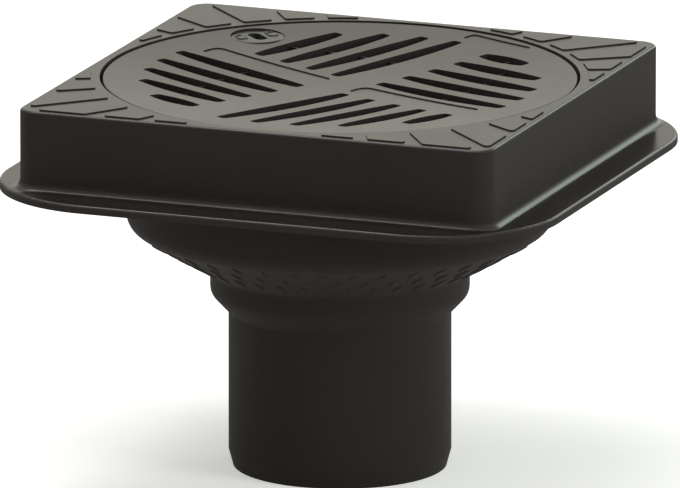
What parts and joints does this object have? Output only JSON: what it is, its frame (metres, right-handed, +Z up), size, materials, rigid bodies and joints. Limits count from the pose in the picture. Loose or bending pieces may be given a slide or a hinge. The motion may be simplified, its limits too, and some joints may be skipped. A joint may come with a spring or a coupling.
{
  "type": "gully trap",
  "caption": "Square yard gully with a dished round locking grate, bowl, vertical pipe spigot and a lift-out bell trap that drains surface water and holds back drain smells.",
  "frame": {"origin": "centre of the end face of the outlet spigot", "axes": "+Z up along the spigot's axis towards the grate; +X and +Y square to the frame's sides"},
  "size_m": [0.287, 0.287, 0.1966],
  "materials": {
    "body_plastic": "satin moulded",
    "grate_plastic": "satin moulded",
    "lock_plastic": "satin moulded",
    "trap_plastic": "satin moulded",
    "seal_rubber": "moulded",
    "fastener_steel": "bright"
  },
  "bodies": {
    "gully": {"gully_body": "body_plastic", "cover_grate": "grate_plastic", "trap_seal": "seal_rubber", "trap_cup": "trap_plastic", "trap_bell": "trap_plastic"},
    "lock": {"lock_plug": "lock_plastic", "lock_o_ring": "seal_rubber", "latch_arm": "lock_plastic", "latch_washer": "fastener_steel", "latch_screw": "fastener_steel"}
  },
  "joints": [
    {"name": "lock_turn", "type": "hinge", "parent": "gully", "child": "lock", "pos_m": [-0.07046, 0.07096, 0.18], "axis": [0, 0, 1], "range_deg": [0, 90]}
  ]
}
